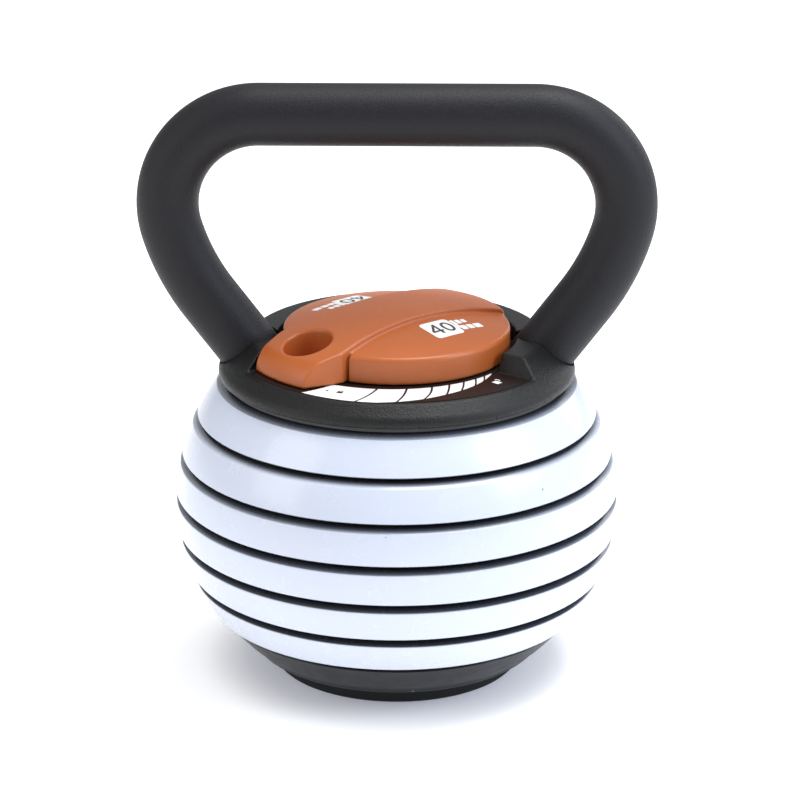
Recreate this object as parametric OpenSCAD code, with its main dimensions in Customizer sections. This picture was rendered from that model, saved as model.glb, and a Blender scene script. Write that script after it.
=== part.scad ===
// Adjustable kettlebell: six lift-off cast plates between a weighted base and
// a tubular handle, clamped by a lever knob that spreads three locking jaws.
// Origin: centre of the bottom of the foot ring. +Z up, lever knob on top.

/* [Body] */
// Largest radius of the plate stack
body_r = 116.4; // [100:0.1:130]
// Vertical semi-axis of the outline that the plates follow
body_half = 109; // [100:0.5:120]
// Height of the widest point of the stack
body_mid = 91; // [85:0.5:97]

/* [Plates] */
// Height of the lowest plate's bottom edge
stack_z = 33.3; // [30:0.1:36]
// Distance from one plate to the next
plate_pitch = 21.1; // [20:0.1:23]
// Open gap between two rims
rim_gap = 2.5; // [2:0.1:4]
// Height of the sloping ledge round a rim's top
ledge_h = 2.2; // [1:0.1:3]
// Run of that ledge towards the axis
ledge_run = 4; // [2:0.5:6]
// Thickness of a rim at its thinnest
rim_wall = 7; // [5:0.5:9]
// Mass of one plate in kilograms
plate_kg = 2.27; // [2.1:0.01:2.5]

/* [Hub coupling] */
// Radius of a plate's hub
hub_r = 38; // [35:1:42]
// Radius of the socket in each hub
socket_r = 30; // [28:0.5:32]
// Depth of the socket
socket_depth = 12.5; // [11:0.5:14]
// Radial clearance of a spigot in its socket
spigot_gap = 0.4; // [0.3:0.05:0.6]

/* [Base] */
// Radius of the base at its top edge
base_r = 94.3; // [90:0.1:100]
// Radius of the lower edge of the base's sloping flank
base_foot_r = 76.9; // [70:0.1:80]
// Height of that lower edge
base_foot_z = 11.3; // [9:0.1:14]
// Outer radius of the rubber foot ring
foot_r = 66; // [55:0.5:67]
// Height of the foot ring
foot_h = 8; // [6:0.5:10]

/* [Handle] */
// Diameter of the handle tube
tube_d = 32; // [28:0.5:35]
// Wall of the handle tube
tube_wall = 3.6; // [3:0.1:5]
// Height of the top bar's centre line
bar_z = 297; // [280:1:310]
// Half of the top bar's straight length
bar_half = 70.3; // [60:0.1:80]
// Radius of the tight upper bend's centre line
bend_r = 47.4; // [40:0.1:55]
// Radius of the wide bend that leads into the leg
sweep_r = 117.5; // [100:2.5:200]
// Inward lean of the tube where the wide bend starts
sweep_from = 16.2602; // [10:0.0001:25]
// Inward lean of the straight leg
leg_lean = 36.8699; // [30:0.0001:38]

/* [Collar] */
// Height of the collar's bottom edge
collar_z = 160.3; // [159:0.1:161]
// Widest radius of the collar
collar_r = 93; // [92:0.1:95]
// Height of the open shelf that the lever sweeps over
shelf_z = 171.4; // [170:0.1:173]
// Radius of the well that holds the knob
well_r = 62.6; // [61:0.1:64]
// Angle of the shelf's end on the unlocked side
shelf_end = -34; // [-40:1:-30]

/* [Knob] */
// Radius of the knob's disc
knob_r = 59; // [55:0.5:60]
// Height of the knob's rim above its underside
knob_rim_h = 13.4; // [10:0.1:15]
// Radius of the sphere that domes the knob's top
dome_r = 216; // [150:1:400]
// Height of the raised band over the dome
band_h = 2.8; // [1:0.1:4]
// Half width of the band at the middle
band_half = 21; // [15:0.5:25]
// Reach of the lever's end from the axis
lever_r = 80; // [76:0.5:82]
// Direction of the lever when it is locked
lever_angle = -139; // [-145:1:-135]
// Diameter of the finger recess in the lever
finger_d = 25; // [18:0.5:27]
// Wall of the moulded knob
knob_wall = 3; // [2:0.5:4]

/* [Lock] */
// Turn of the knob from locked to unlocked
knob_turn = 78; // [60:1:80]
// How far each jaw draws back over that turn
jaw_travel = 2; // [1:0.1:2.5]

/* [Hidden] */
$fn = 96;

plates = 6;
iron = 7.2e-6;                              // kg per cubic millimetre
hub_proud = 0.5;                            // hub above its own rim
rim_h = plate_pitch - rim_gap;
hub_drop = rim_gap - hub_proud;             // hub below its own rim
spigot_r = socket_r - spigot_gap;
spigot_len = socket_depth - 0.5;
spigot_wall = 5.6;
hub_bore_r = 20;
dish_h = 9.3;                               // dish in the base's top face
web_recess = 1;                             // web below the rim's top
edge_round = 0.8;                           // edge between face and ledge
stack_top = stack_z + plates * plate_pitch - rim_gap + hub_proud;

chassis_t = 4;
chassis_z = stack_top;
chassis_top = chassis_z + chassis_t;
chassis_r = 89.5;

tube_r = tube_d / 2;
bend_z = bar_z - bend_r;

knob_z = shelf_z + 0.7;
knob_rim_z = knob_z + knob_rim_h;
dome_c = knob_rim_z - sqrt(dome_r * dome_r - knob_r * knob_r);
label_t = 0.3;

cam_t = 3;
cam_z = chassis_z - 0.4 - cam_t;
cam_r = 20.4;
jaw_t = 4.9;
jaw_z = cam_z - 0.4 - jaw_t;
jaw_w = 12;
jaw_tip_r = socket_r - 0.15;
jaw_back_r = 9;
jaw_pin_r = 2.5;
jaw_pin_at = 15.5;
jaw_angles = [90, 210, 330];
housing_z = chassis_z - spigot_len;
housing_screw_at = 25.3;
shaft_r = 8;
collar_screw_at = 74;

// ---- helpers ----

function face_r(z) = body_r * sqrt(1 - pow((z - body_mid) / body_half, 2));
function face_angle(z) =
    atan2((z - body_mid) * body_r * body_r, body_half * body_half * face_r(z));
function polar(r, a) = [r * cos(a), r * sin(a)];
function arc_pts(c, r, a0, a1, n) =
    [for (i = [0 : n]) c + polar(r, a0 + (a1 - a0) * i / n)];

// A ring between two radii and two heights.
module ring(r1, r0, z0, z1) {
    difference() {
        translate([0, 0, z0]) cylinder(r = r1, h = z1 - z0);
        translate([0, 0, z0 - 1]) cylinder(r = r0, h = z1 - z0 + 2);
    }
}

// A flat pie slice from angle a0 to a1.
module sector(r, a0, a1) {
    polygon(concat([[0, 0]], arc_pts([0, 0], r, a0, a1, 12)));
}

// A countersunk screw, head face down at z = 0, shank pointing up.
module screw(d, head_d, length) {
    cylinder(r1 = head_d / 2, r2 = d / 2, h = (head_d - d) / 2);
    cylinder(d = d, h = length);
}

module screw_hole(d, head_d, length) {
    translate([0, 0, -0.05]) screw(d + 0.3, head_d + 0.4, length);
}

// ---- plates ----

function plate_z(i) = stack_z + (plates - i) * plate_pitch;
function cube3(x) = x * x * x;
function outline_volume(z0, z1) = PI * body_r * body_r
    * (z1 - z0 - (cube3(z1 - body_mid) - cube3(z0 - body_mid))
        / (3 * body_half * body_half));
function rim_inner(i) =
    min(face_r(plate_z(i)), face_r(plate_z(i) + rim_h)) - rim_wall;
function web_edge(i) = face_r(plate_z(i) + rim_h) - rim_wall - ledge_run;

// Depth of the hollow under the web that leaves the wanted mass.
function plate_solid(i) = outline_volume(plate_z(i), plate_z(i) + rim_h)
    - PI * (pow(web_edge(i), 2) - hub_r * hub_r) * web_recess
    - PI * face_r(plate_z(i) + rim_h) * ledge_run * ledge_h
    + PI * hub_r * hub_r * (hub_proud + hub_drop)
    - PI * socket_r * socket_r * socket_depth
    - PI * hub_bore_r * hub_bore_r * (plate_pitch - socket_depth)
    + PI * (spigot_r * spigot_r - pow(spigot_r - spigot_wall, 2)) * spigot_len;
function hollow_depth(i) = (plate_solid(i) - plate_kg / iron)
    / (PI * (pow(rim_inner(i), 2) - hub_r * hub_r));

module plate_outline(i) {
    z0 = plate_z(i);
    z1 = z0 + rim_h;
    zt = z1 - ledge_h;
    a = face_angle(zt);
    b = atan2(ledge_run, ledge_h);
    reach = edge_round * tan((b - a) / 2);
    face = [for (k = [0 : 7]) let (z = z0 + (zt - reach - z0) * k / 7) [face_r(z), z]];
    centre = [face_r(zt), zt] - polar(reach, a + 90) - polar(edge_round, a);
    edge = [for (k = [1 : 4]) centre + polar(edge_round, a + (b - a) * k / 4)];
    polygon(concat([[0, z0]], face, edge, [[face_r(zt) - ledge_run, z1], [0, z1]]));
}

module plate(i) {
    z0 = plate_z(i);
    z1 = z0 + rim_h;
    hub_top = z1 + hub_proud;
    hub_z = z0 - hub_drop;
    color("whitesmoke")
    difference() {
        union() {
            difference() {
                rotate_extrude() plate_outline(i);
                translate([0, 0, z0 - 1])
                    cylinder(r = rim_inner(i), h = hollow_depth(i) + 1);
                translate([0, 0, z1 - web_recess])
                    cylinder(r = web_edge(i), h = web_recess + 1);
            }
            translate([0, 0, hub_z]) cylinder(r = hub_r, h = plate_pitch);
            ring(spigot_r, spigot_r - spigot_wall, hub_z - spigot_len, hub_z + 1);
        }
        translate([0, 0, hub_top - socket_depth])
            cylinder(r = socket_r, h = socket_depth + 1);
        translate([0, 0, hub_z - spigot_len - 1]) cylinder(r = hub_bore_r, h = 60);
    }
}

// ---- base ----

module base_weight() {
    top = stack_z - rim_gap;
    hub_top = top + hub_proud;
    color("#262628")
    difference() {
        union() {
            rotate_extrude() polygon([[0, foot_h - 2], [foot_r + 1, foot_h - 2],
                [foot_r + 2, foot_h - 1], [base_foot_r - 1.2, base_foot_z - 0.9],
                [base_foot_r, base_foot_z], [base_foot_r + 0.4, base_foot_z + 0.8],
                [base_foot_r + 7.1, base_foot_z + 7], [base_foot_r + 12.4, base_foot_z + 12.7],
                [base_r - 0.7, top - 1.6], [base_r, top - 0.8],
                [base_r - 0.3, top - 0.2], [base_r - 0.9, top], [0, top]]);
            cylinder(r = hub_r, h = hub_top);
        }
        // socket for the lowest plate's spigot
        translate([0, 0, hub_top - socket_depth])
            cylinder(r = socket_r, h = socket_depth + 1);
        // shallow dish in the top face
        ring(base_r - 12, hub_r, top - dish_h, top + 1);
        // hollow underneath, inside the foot ring
        ring(52, 24, -1, foot_h + 5);
        translate([0, 0, -1]) cylinder(r = 24, h = foot_h - 1);
        // seat of the foot ring
        ring(foot_r + 0.1, 51, -1, foot_h);
        for (a = [45 : 90 : 315])
            rotate(a) translate([59, 0, foot_h - 1]) cylinder(d = 3.4, h = 9);
    }
}

module foot_ring() {
    color("#161616")
    difference() {
        rotate_extrude() polygon([[53, 0], [foot_r - 1.2, 0], [foot_r, 1.2],
            [foot_r, foot_h], [53, foot_h]]);
        for (a = [45 : 90 : 315])
            rotate(a) translate([59, 0, -1]) {
                cylinder(d = 3.6, h = foot_h + 2);
                cylinder(d = 8, h = 4);
            }
    }
}

module foot_screws() {
    color("silver")
    for (a = [45 : 90 : 315])
        rotate(a) translate([59, 0, 0.9]) difference() {
            union() {
                cylinder(d = 7, h = 2);
                cylinder(d = 3.3, h = 14);
            }
            translate([0, 0, -1]) cylinder(d = 3, h = 2, $fn = 6);
        }
}

// ---- handle ----

function lean(r, a) = r * [cos(a), -sin(a)];
function bend_c() = [bar_half, bend_z];
function sweep_c() = bend_c() + lean(bend_r - sweep_r, sweep_from);
function leg_top() = sweep_c() + lean(sweep_r, leg_lean);

// Cross-section of the tube.
module tube_ring() {
    difference() {
        circle(r = tube_r);
        circle(r = tube_r - tube_wall);
    }
}

// The part of a tube bent to radius r about the point c that lies inside the
// outline pts, which is drawn in the plane Y = 0 from c.
module tube_arc(c, r, pts) {
    translate([c[0], 0, c[1]]) rotate([90, 0, 0]) intersection() {
        rotate_extrude() translate([r, 0]) tube_ring();
        translate([0, 0, -30]) linear_extrude(60) polygon(pts);
    }
}

// Bends and leg of one side, in the plane Y = 0.
module half_tube() {
    tube_arc(bend_c(), bend_r, [[0, 0], lean(200, sweep_from), [200, 200], [0, 200]]);
    tube_arc(sweep_c(), sweep_r, [[0, 0], lean(200, leg_lean), lean(200, sweep_from)]);
    difference() {
        leg(tube_r);
        leg(tube_r - tube_wall);
    }
}

// Straight leg as a solid bar, running on below the chassis to be cut off level.
module leg(r) {
    translate([leg_top()[0], 0, leg_top()[1]]) rotate([0, 180 + leg_lean, 0])
        cylinder(r = r, h = 60);
}

module both_sides() {
    children();
    mirror([1, 0, 0]) children();
}

module handle_tube() {
    color("#2b2b2d")
    difference() {
        union() {
            translate([-bar_half, 0, bar_z]) rotate([0, 90, 0])
                linear_extrude(2 * bar_half) tube_ring();
            both_sides() half_tube();
        }
        translate([-150, -50, 0]) cube([300, 100, chassis_top]);
        // relief for the knob's disc
        translate([0, 0, shelf_z + 0.2]) cylinder(r = knob_r + 2.6, h = 12);
    }
}

module handle_welds() {
    color("dimgray")
    both_sides() intersection() {
        difference() {
            leg(tube_r + 2.6);
            leg(tube_r);
        }
        translate([30, -30, chassis_top]) cube([55.5, 60, 2.6]);
        cylinder(r = 85.5, h = 300);
    }
}

module chassis_plate() {
    color("#222224")
    difference() {
        translate([0, 0, chassis_z]) cylinder(r = chassis_r, h = chassis_t);
        translate([0, 0, chassis_z - 1]) cylinder(r = shaft_r + 2, h = chassis_t + 2);
        for (a = [45 : 90 : 315])
            rotate(a) translate([collar_screw_at, 0, chassis_z]) screw_hole(4, 8, 9);
        for (a = jaw_angles)
            rotate(a + 60) translate([housing_screw_at, 0, chassis_z - 1])
                cylinder(d = 4, h = chassis_t + 2);
    }
}

// ---- collar ----

// Height of the collar's conical flank at a radius.
cone_foot = [92.8, 165];
cone_top = [77.5, 178.6];
cone_slope = (cone_foot[0] - cone_top[0]) / (cone_top[1] - cone_foot[1]);
function cone_r(z) = cone_foot[0] - (z - cone_foot[1]) * cone_slope;
collar_top = 180.2;
shelf_t = 2.4;
collar_wall = 2.8;
lever_side_clear = 1.6;

module collar_outer() {
    rotate_extrude() polygon([[0, collar_z], [collar_r - 1, collar_z],
        [collar_r - 0.3, collar_z + 0.8], [collar_r, collar_z + 2.4],
        cone_foot, cone_top, [76.2, 179.7], [74.6, collar_top],
        [well_r + 0.6, collar_top], [well_r, collar_top - 0.6], [well_r, shelf_z],
        [0, shelf_z]]);
}

// Hollow of the moulding, open at the bottom.
module collar_hollow() {
    rotate_extrude() polygon([[0, collar_z - 1], [chassis_r + 0.4, collar_z - 1],
        [chassis_r + 0.4, chassis_top], [cone_r(168) - 3.6, 168],
        [cone_top[0] - 1.6, 176.4], [well_r + collar_wall, 177.4],
        [well_r + collar_wall, shelf_z - shelf_t], [0, shelf_z - shelf_t]]);
}

// Outline of the shelf's open sector, seen from above.
module shelf_outline(grow) {
    side = lever_side_clear + grow;
    union() {
        sector(140, lever_angle - 4, shelf_end + grow);
        rotate(lever_angle) polygon([[0, 0], [110, 0], [110, -lever_half(110) - side],
            [57, -lever_half(57) - side], [30, -lever_half(30) - side], [0, -20]]);
    }
}

// The upper part of the unlocked end leans away from the shelf.
module end_ramp(drop) {
    rotate(shelf_end) translate([0, 0, shelf_z + 1.2]) rotate([30, 0, 0])
        translate([40, -8, -drop]) cube([80, 40, 20 + drop]);
}

// The open space over the shelf, grown sideways and downwards.
module shelf_space(grow) {
    difference() {
        translate([0, 0, shelf_z - grow]) linear_extrude(40) shelf_outline(grow);
        cylinder(r = well_r + (grow > 0 ? 0.4 : -1), h = 300);
    }
    end_ramp(grow);
}

module collar() {
    color("#2a2a2b")
    difference() {
        union() {
            difference() {
                collar_outer();
                collar_hollow();
            }
            // shelf, its end wall and the sloping end
            intersection() {
                collar_outer();
                shelf_space(shelf_t);
            }
            for (a = [45 : 90 : 315], roof = a < 180 ? collar_top - 2 : shelf_z - 1)
                rotate(a) translate([collar_screw_at, 0, chassis_top])
                    cylinder(r = 4.5, h = roof - chassis_top);
        }
        shelf_space(0);
        // passage of the shaft
        cylinder(r = 16, h = 300);
        // sockets of the tube
        both_sides() intersection() {
            leg(tube_r + 0.8);
            translate([0, -40, chassis_top]) cube([140, 80, 60]);
        }
        for (a = [45 : 90 : 315])
            rotate(a) translate([collar_screw_at, 0, chassis_top - 0.5]) cylinder(d = 4, h = 6.5);
    }
}

module collar_screws() {
    color("silver")
    for (a = [45 : 90 : 315])
        rotate(a) translate([collar_screw_at, 0, chassis_z]) difference() {
            screw(4, 8, 9.5);
            translate([0, 0, -1]) cylinder(d = 2.5, h = 3, $fn = 6);
        }
}

module scale_ring() {
    color("#2c1d18")
    translate([0, 0, shelf_z]) linear_extrude(label_t) difference() {
        intersection() {
            circle(r = cone_r(shelf_z) - 0.6);
            sector(140, lever_angle - 12, shelf_end - 1);
        }
        circle(r = well_r + 0.2);
    }
}

// ---- lock ----

module lock_housing() {
    color("gainsboro")
    difference() {
        translate([0, 0, housing_z]) cylinder(r = spigot_r, h = spigot_len);
        translate([0, 0, jaw_z - 0.3]) cylinder(r = cam_r + 0.6, h = 40);
        for (a = jaw_angles) {
            rotate(a) translate([0, -jaw_w / 2 - 0.15, jaw_z - 0.3])
                cube([40, jaw_w + 0.3, jaw_t + 0.6]);
            rotate(a + 60) translate([housing_screw_at, 0, housing_z]) screw_hole(4, 7, 20);
        }
    }
}

module housing_screws() {
    color("silver")
    for (a = jaw_angles)
        rotate(a + 60) translate([housing_screw_at, 0, housing_z]) difference() {
            screw(4, 7, spigot_len + chassis_t - 0.5);
            translate([0, 0, -1]) cylinder(d = 2.5, h = 3, $fn = 6);
        }
}

module shaft_bush() {
    color("ivory")
    difference() {
        union() {
            translate([0, 0, chassis_z]) cylinder(r = shaft_r + 2, h = chassis_t);
            translate([0, 0, chassis_top]) cylinder(r = shaft_r + 5, h = 1.5);
        }
        translate([0, 0, chassis_z - 1]) cylinder(r = shaft_r + 0.05, h = 10);
    }
}

module drive_shaft() {
    color("silver")
    difference() {
        union() {
            translate([0, 0, cam_z + cam_t]) cylinder(r = shaft_r, h = 14);
            translate([0, 0, knob_z - 1.4]) cylinder(r = 15, h = 3);
            translate([0, 0, chassis_top + 1.6]) cylinder(r = shaft_r + 3, h = 3);
            // square that drives the cam
            translate([-5, -5, cam_z + 0.1]) cube([10, 10, cam_t + 1]);
        }
        cylinder(r = 2.1, h = knob_z - 4);
        for (a = [0, 120, 240])
            rotate(a) translate([11.5, 0, knob_z - 4]) cylinder(d = 3.3, h = 10);
    }
}

module shaft_screws() {
    color("gray")
    for (a = [0, 120, 240])
        rotate(a) translate([11.5, 0, knob_z - 1.4]) {
            difference() {
                translate([0, 0, -2]) cylinder(d = 5.6, h = 2);
                translate([0, 0, -3]) cylinder(d = 2.5, h = 2, $fn = 6);
            }
            cylinder(d = 3, h = 11);
        }
}

// Spiral slot edge points: the pin's path in the turning cam.
function slot_r(turn) = jaw_pin_at - jaw_travel * turn / knob_turn;
function slot_pts(off, t0, t1, n) = [for (i = [0 : n])
    let (t = t0 + (t1 - t0) * i / n) polar(slot_r(t) + off, -t)];

module cam_plate() {
    half = jaw_pin_r + 0.15;
    color("silver")
    difference() {
        translate([0, 0, cam_z]) cylinder(r = cam_r, h = cam_t);
        for (a = jaw_angles)
            rotate(a) translate([0, 0, cam_z - 1]) {
                linear_extrude(cam_t + 2) polygon(concat(
                    slot_pts(half, 0, knob_turn, 40), slot_pts(-half, knob_turn, 0, 40)));
                translate([slot_r(0), 0, 0]) cylinder(r = half, h = cam_t + 2);
                rotate(-knob_turn) translate([slot_r(knob_turn), 0, 0])
                    cylinder(r = half, h = cam_t + 2);
            }
        translate([-5.02, -5.02, cam_z - 1]) cube([10.04, 10.04, cam_t + 2]);
    }
}

module cam_screw() {
    color("gray")
    difference() {
        union() {
            translate([0, 0, cam_z - 3.4]) cylinder(r = 6.6, h = 3.4);
            translate([0, 0, cam_z - 1]) cylinder(r = 2, h = 12);
        }
        translate([0, 0, cam_z - 4.4]) cylinder(d = 4, h = 3, $fn = 6);
    }
}

module lock_jaw(a) {
    color("dimgray")
    difference() {
        intersection() {
            rotate(a) translate([jaw_back_r, -jaw_w / 2, jaw_z]) cube([30, jaw_w, jaw_t]);
            translate([0, 0, jaw_z - 1]) cylinder(r = jaw_tip_r, h = jaw_t + 2);
        }
        rotate(a) translate([jaw_pin_at, 0, jaw_z - 1]) cylinder(r = jaw_pin_r, h = 20);
    }
}

module jaw_pin(a) {
    color("silver")
    rotate(a) translate([jaw_pin_at, 0, jaw_z]) cylinder(r = jaw_pin_r, h = cam_z + cam_t - jaw_z);
}

// ---- knob ----

// Half width of the raised band and lever at a distance along its length.
function lever_half(s) = s <= 57 ? band_half + 4.3 * pow(s / 57, 2)
    : band_half + 4.3 - 5.5 * (s - 57) / 21;

module lever_outline() {
    far = [for (s = [-60 : 10 : 50]) [s, lever_half(abs(s))]];
    near = [[57, lever_half(57)], [lever_r, lever_half(lever_r)]];
    pts = concat(far, near);
    rotate(lever_angle)
        polygon(concat(pts, [for (i = [len(pts) - 1 : -1 : 0]) [pts[i][0], -pts[i][1]]]));
}

// Roll-off of the lever's end: radius by height above the knob's underside.
module lever_bound() {
    rotate_extrude() polygon([[0, knob_z], [lever_r, knob_z], [lever_r, knob_z + 3],
        [lever_r - 1, knob_z + 6.5], [lever_r - 3.6, knob_z + 9.6],
        [lever_r - 7.5, knob_z + 11.8], [lever_r - 13, knob_z + 13.4],
        [lever_r - 20, knob_z + 15.4], [lever_r - 40, knob_z + 30], [0, knob_z + 40]]);
}

module dome_solid(r) {
    translate([0, 0, dome_c]) sphere(r = r);
}

module knob_solid(inset) {
    intersection() {
        translate([0, 0, knob_z]) cylinder(r = knob_r - inset, h = 40);
        dome_solid(dome_r - inset);
    }
}

module lever_solid() {
    intersection() {
        translate([0, 0, knob_z]) linear_extrude(40) lever_outline();
        lever_bound();
        dome_solid(dome_r + band_h);
        difference() {
            cylinder(r = 100, h = 300);
            // the band ends at the disc's rim on the far side
            rotate(lever_angle) translate([-200, -100, 0]) difference() {
                cube([200, 200, 300]);
                translate([200, 100, -1]) cylinder(r = knob_r - 0.6, h = 302);
            }
        }
    }
}

module knob() {
    color("#c4622f")
    difference() {
        union() {
            knob_solid(0);
            lever_solid();
        }
        // moulded hollow with a central boss
        difference() {
            translate([0, 0, -0.5]) knob_solid(knob_wall);
            cylinder(r = 18, h = 300);
            rotate(lever_angle) translate([knob_r - 22, -30, 0]) cube([60, 60, 300]);
        }
        translate([0, 0, knob_z - 1]) cylinder(r = 15.1, h = 2.6);
        for (a = [0, 120, 240])
            rotate(a) translate([11.5, 0, knob_z]) cylinder(d = 3, h = 9.6);
        rotate(lever_angle) translate([knob_r, 0, knob_z + 2.5]) cylinder(d = finger_d, h = 40);
    }
}

module label_outline() {
    translate([-7, -42]) square([18, 17]);
    translate([10, -40]) square([16, 11.5]);
}

module knob_label(turn) {
    color("white")
    intersection() {
        rotate(lever_angle + 180 + turn) translate([0, 0, knob_z]) linear_extrude(40)
            label_outline();
        difference() {
            dome_solid(dome_r + label_t);
            dome_solid(dome_r);
        }
    }
}

module knob_label_front() { knob_label(0); }
module knob_label_rear() { knob_label(180); }

handle_tube();
handle_welds();
chassis_plate();
collar();
scale_ring();
collar_screws();
lock_housing();
housing_screws();
shaft_bush();
knob();
knob_label_front();
knob_label_rear();
drive_shaft();
shaft_screws();
cam_plate();
cam_screw();
lock_jaw(jaw_angles[0]);  // lock_jaw_1
lock_jaw(jaw_angles[1]);  // lock_jaw_2
lock_jaw(jaw_angles[2]);  // lock_jaw_3
jaw_pin(jaw_angles[0]);  // jaw_pin_1
jaw_pin(jaw_angles[1]);  // jaw_pin_2
jaw_pin(jaw_angles[2]);  // jaw_pin_3
plate(1);  // plate_1
plate(2);  // plate_2
plate(3);  // plate_3
plate(4);  // plate_4
plate(5);  // plate_5
plate(6);  // plate_6
base_weight();
foot_ring();
foot_screws();
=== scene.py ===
import math
import bpy
import numpy as np
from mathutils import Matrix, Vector


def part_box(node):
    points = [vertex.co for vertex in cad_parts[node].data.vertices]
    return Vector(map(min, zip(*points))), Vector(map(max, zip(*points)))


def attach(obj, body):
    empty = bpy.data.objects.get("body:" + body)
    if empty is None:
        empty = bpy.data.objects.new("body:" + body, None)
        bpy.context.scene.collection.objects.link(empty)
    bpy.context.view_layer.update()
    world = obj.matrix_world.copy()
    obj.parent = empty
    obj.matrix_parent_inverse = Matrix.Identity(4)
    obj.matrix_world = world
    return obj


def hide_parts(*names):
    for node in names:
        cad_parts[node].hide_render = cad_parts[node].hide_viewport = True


# Adjustable kettlebell. Lengths in this script are millimetres until MM turns them
# into metres. Angles are degrees in plan, 0 along +X and -90 towards the camera.
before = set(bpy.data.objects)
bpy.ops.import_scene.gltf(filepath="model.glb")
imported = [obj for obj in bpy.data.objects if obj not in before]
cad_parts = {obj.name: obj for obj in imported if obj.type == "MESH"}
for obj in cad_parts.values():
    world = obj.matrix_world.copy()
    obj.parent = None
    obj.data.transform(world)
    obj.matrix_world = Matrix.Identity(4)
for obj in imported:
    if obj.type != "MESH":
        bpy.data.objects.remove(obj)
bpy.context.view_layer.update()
MM = 0.001
scene = bpy.context.scene
scene.view_settings.view_transform = "Standard"


def top_of(node):
    """Height of a CAD node's top."""
    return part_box(node)[1][2] / MM


def turned(radius, degrees):
    """Offset of a point at an angle on a circle."""
    return radius * math.cos(math.radians(degrees)), radius * math.sin(math.radians(degrees))


# ---------------------------------------------------------------- camera

ELEV, TURN, DIST, AIM_Z = math.radians(19.3), math.radians(1.0), 1573.6, 143.6
cam = bpy.data.objects.new("camera", bpy.data.cameras.new("camera"))
scene.collection.objects.link(cam)
scene.camera = cam
cam.data.lens, cam.data.sensor_width, cam.data.shift_x = 135, 36, 0.004
cam.data.clip_start, cam.data.clip_end = 0.05, 60
back = Vector((math.cos(ELEV) * math.sin(TURN), -math.cos(ELEV) * math.cos(TURN),
               math.sin(ELEV)))
cam.location = Vector((0, 0, AIM_Z * MM)) + back * DIST * MM
cam.rotation_mode = "QUATERNION"
cam.rotation_quaternion = (-back).to_track_quat("-Z", "Y")

# ---------------------------------------------------------------- materials


class Mat:
    """A node material with short helpers."""

    def __init__(self, name, color, rough, metal=0.0, spec=0.5, coat=0.0, coat_rough=0.1):
        self.material = bpy.data.materials.new(name)
        self.material.use_nodes = True
        self.nodes, self.links = self.material.node_tree.nodes, self.material.node_tree.links
        self.shader = self.nodes["Principled BSDF"]
        self.shader.inputs["Base Color"].default_value = (*color, 1)
        self.shader.inputs["Roughness"].default_value = rough
        self.shader.inputs["Metallic"].default_value = metal
        self.shader.inputs["Specular IOR Level"].default_value = spec
        self.shader.inputs["Coat Weight"].default_value = coat
        self.shader.inputs["Coat Roughness"].default_value = coat_rough
        self.normal = None

    def node(self, kind, **values):
        """A new node. Names that start with in_ set its inputs, the others its own settings."""
        node = self.nodes.new(kind)
        for name, value in values.items():
            if name.startswith("in_"):
                node.inputs[name[3:]].default_value = value
            else:
                setattr(node, name, value)
        return node

    def noise(self, scale, detail, rough=0.5):
        place = self.node("ShaderNodeTexCoord")
        noise = self.node("ShaderNodeTexNoise", in_Scale=scale, in_Detail=detail,
                          in_Roughness=rough)
        self.links.new(place.outputs["Object"], noise.inputs["Vector"])
        return noise.outputs["Fac"]

    def cells(self, scale):
        place = self.node("ShaderNodeTexCoord")
        cells = self.node("ShaderNodeTexVoronoi", in_Scale=scale)
        self.links.new(place.outputs["Object"], cells.inputs["Vector"])
        return cells.outputs["Distance"]

    def ramp(self, source, stops):
        """Grey or coloured stops, each a position and a value."""
        ramp = self.node("ShaderNodeValToRGB")
        elements = ramp.color_ramp.elements
        while len(elements) < len(stops):
            elements.new(0.5)
        for element, (position, value) in zip(elements, stops):
            grey = isinstance(value, float)
            element.position = position
            element.color = (value, value, value, 1) if grey else (*value, 1)
        self.links.new(source, ramp.inputs["Fac"])
        return ramp.outputs["Color"]

    def mix(self, factor, a, b):
        """A blend of two colours, each an output socket or a fixed colour."""
        mix = self.node("ShaderNodeMix", data_type="RGBA")
        for key, value in (("Factor", factor), ("A", a), ("B", b)):
            socket = [i for i in mix.inputs if i.name == key and i.enabled][0]
            if isinstance(value, tuple):
                socket.default_value = (*value, 1)
            else:
                self.links.new(value, socket)
        return [o for o in mix.outputs if o.enabled][0]

    def bump(self, source, depth, strength):
        """Relief of the given depth on top of any relief set before."""
        bump = self.node("ShaderNodeBump", in_Strength=strength, in_Distance=depth * MM)
        self.links.new(source, bump.inputs["Height"])
        if self.normal is not None:
            self.links.new(self.normal, bump.inputs["Normal"])
        self.normal = bump.outputs["Normal"]
        self.links.new(self.normal, self.shader.inputs["Normal"])
        return self

    def set(self, socket, source):
        self.links.new(source, self.shader.inputs[socket])


def tone(color, factor):
    return tuple(min(1.0, value * factor) for value in color)


def mottled(name, color, rough, spread, scale, **look):
    """A colour that varies a little over the surface, with roughness to match."""
    mat = Mat(name, color, rough, **look)
    cloud = mat.noise(scale, 4.0, 0.6)
    mat.set("Base Color", mat.mix(cloud, tone(color, 1 - spread), tone(color, 1 + spread)))
    mat.set("Roughness", mat.ramp(cloud, [(0.25, rough - 0.07), (0.75, rough + 0.07)]))
    return mat


def specks(mat, base, color, scale, share):
    """Sparse small spots of another colour over base."""
    spot = mat.ramp(mat.cells(scale), [(share, 1.0), (share + 0.02, 0.0)])
    gate = mat.ramp(mat.noise(scale * 0.35, 2.0), [(0.60, 0.0), (0.64, 1.0)])
    both = mat.node("ShaderNodeMath", operation="MULTIPLY")
    mat.links.new(spot, both.inputs[0])
    mat.links.new(gate, both.inputs[1])
    return mat.mix(both.outputs[0], base, color)


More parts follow.
